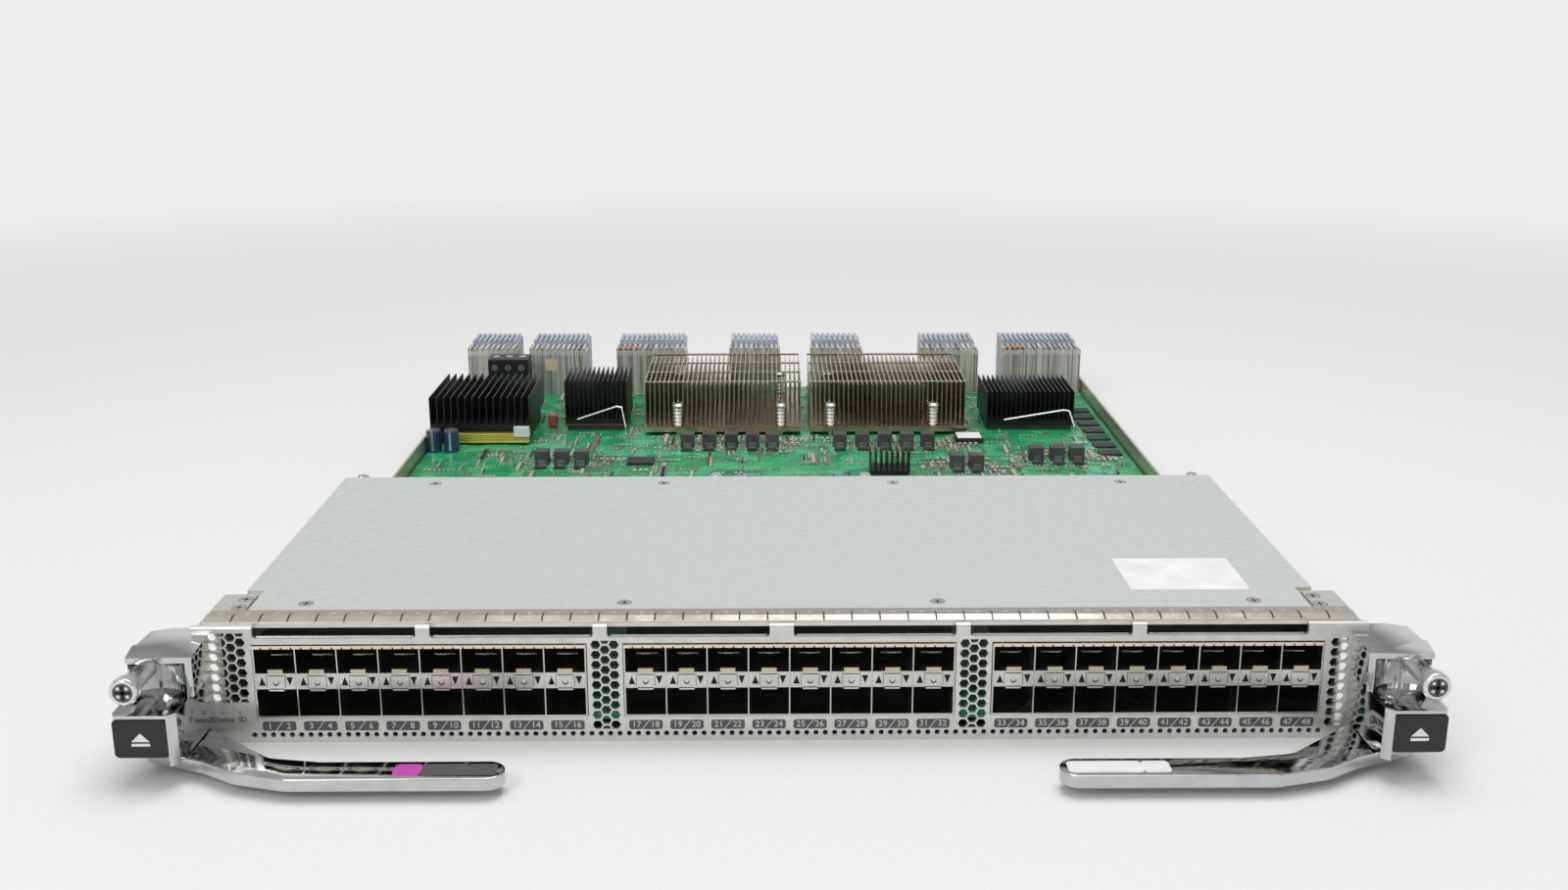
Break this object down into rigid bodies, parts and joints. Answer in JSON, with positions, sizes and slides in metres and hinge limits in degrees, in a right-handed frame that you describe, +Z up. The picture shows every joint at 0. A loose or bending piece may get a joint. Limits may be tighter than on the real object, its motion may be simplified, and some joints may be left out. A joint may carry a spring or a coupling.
{
  "type": "switch line card",
  "caption": "Slide-in switch line card: steel tray with stacked transceiver ports in a perforated faceplate, ejector levers, captive screws, finned heat sinks and rear connectors.",
  "frame": {"origin": "on the underside of the tray, midway across, 12 mm behind the front face of the faceplate, under the shielding gasket", "axes": "+X to the right seen from the front, +Y to the rear connectors, +Z up"},
  "size_m": [0.4352, 0.5496, 0.0444],
  "materials": {
    "steel_sheet": "satin",
    "face_sheet": "satin",
    "spring_steel": "polished",
    "cage_sheet": "satin",
    "copper_gasket": "satin",
    "screw_steel": "polished",
    "circuit_board": "satin",
    "black_plastic": "matt",
    "chrome_casting": "polished",
    "bare_aluminium": "satin",
    "black_aluminium": "satin",
    "chip_epoxy": "matt",
    "ferrite": "matt",
    "yellow_tape": "satin",
    "blue_sleeve": "satin",
    "connector_plastic": "satin",
    "housing_plastic": "satin"
  },
  "bodies": {
    "card": {"backplane_housings": "housing_plastic", "backplane_wafers": "connector_plastic", "board_chips": "chip_epoxy", "board_screws": "screw_steel", "button_spring_left": "spring_steel", "button_spring_right": "spring_steel", "cage_dividers_left": "cage_sheet", "cage_dividers_middle": "cage_sheet", "cage_dividers_right": "cage_sheet", "cage_gaskets": "copper_gasket", "cage_shell_left": "cage_sheet", "cage_shell_middle": "cage_sheet", "cage_shell_right": "cage_sheet", "cage_spacers_left": "cage_sheet", "cage_spacers_middle": "cage_sheet", "cage_spacers_right": "cage_sheet", "capacitors": "blue_sleeve", "captive_screw_spring_left": "spring_steel", "captive_screw_spring_right": "spring_steel", "chip_packages": "chip_epoxy", "clock_heat_sink": "black_aluminium", "cover_screws": "screw_steel", "ejector_housing_left": "chrome_casting", "ejector_housing_right": "chrome_casting", "fabric_heat_sink": "black_aluminium", "faceplate": "face_sheet", "faceplate_gasket": "spring_steel", "front_cover": "steel_sheet", "front_rail": "steel_sheet", "large_heat_sink_left": "bare_aluminium", "large_heat_sink_right": "bare_aluminium", "lever_spring_left": "spring_steel", "lever_spring_right": "spring_steel", "main_board": "circuit_board", "pivot_pin_left": "screw_steel", "pivot_pin_right": "screw_steel", "port_connectors_left": "black_plastic", "port_connectors_middle": "black_plastic", "port_connectors_right": "black_plastic", "power_core": "yellow_tape", "power_heat_sink": "black_aluminium", "power_inductors": "ferrite", "power_module": "chip_epoxy", "power_terminal": "black_plastic", "processor_heat_sink": "black_aluminium", "rear_rail": "steel_sheet", "shelf_screws": "screw_steel", "sink_clips": "spring_steel", "sink_screws": "screw_steel", "sink_springs": "spring_steel", "tray": "steel_sheet"},
    "lever_left": {"lever_left": "chrome_casting"},
    "eject_button_left": {"eject_button_left": "black_plastic"},
    "screw_clip_left": {"screw_clip_left": "spring_steel"},
    "captive_screw_left": {"captive_screw_left": "screw_steel"},
    "lever_right": {"lever_right": "chrome_casting"},
    "eject_button_right": {"eject_button_right": "black_plastic"},
    "screw_clip_right": {"screw_clip_right": "spring_steel"},
    "captive_screw_right": {"captive_screw_right": "screw_steel"}
  },
  "joints": [
    {"name": "left_lever_swing", "type": "hinge", "parent": "card", "child": "lever_left", "pos_m": [-0.206, -0.02, 0.0057], "axis": [0, 0, -1], "range_deg": [0, 55]},
    {"name": "left_eject_button_press", "type": "slide", "parent": "card", "child": "eject_button_left", "axis": [0, 1, 0], "range_m": [0, 0.0025], "stiffness_N_per_m": 600, "springref_m": -0.002, "deforming": ["button_spring_left"]},
    {"name": "left_captive_screw_travel", "type": "slide", "parent": "card", "child": "screw_clip_left", "axis": [0, 1, 0], "range_m": [0, 0.006], "stiffness_N_per_m": 250, "springref_m": -0.002, "deforming": ["captive_screw_spring_left"]},
    {"name": "left_captive_screw_turn", "type": "hinge", "parent": "screw_clip_left", "child": "captive_screw_left", "pos_m": [-0.2124, -0.022, 0.0334], "axis": [0, 1, 0], "continuous": true},
    {"name": "right_lever_swing", "type": "hinge", "parent": "card", "child": "lever_right", "pos_m": [0.206, -0.02, 0.0057], "axis": [0, 0, 1], "range_deg": [0, 55]},
    {"name": "right_eject_button_press", "type": "slide", "parent": "card", "child": "eject_button_right", "axis": [0, 1, 0], "range_m": [0, 0.0025], "stiffness_N_per_m": 600, "springref_m": -0.002, "deforming": ["button_spring_right"]},
    {"name": "right_captive_screw_travel", "type": "slide", "parent": "card", "child": "screw_clip_right", "axis": [0, 1, 0], "range_m": [0, 0.006], "stiffness_N_per_m": 250, "springref_m": -0.002, "deforming": ["captive_screw_spring_right"]},
    {"name": "right_captive_screw_turn", "type": "hinge", "parent": "screw_clip_right", "child": "captive_screw_right", "pos_m": [0.2124, -0.022, 0.0334], "axis": [0, 1, 0], "continuous": true}
  ]
}
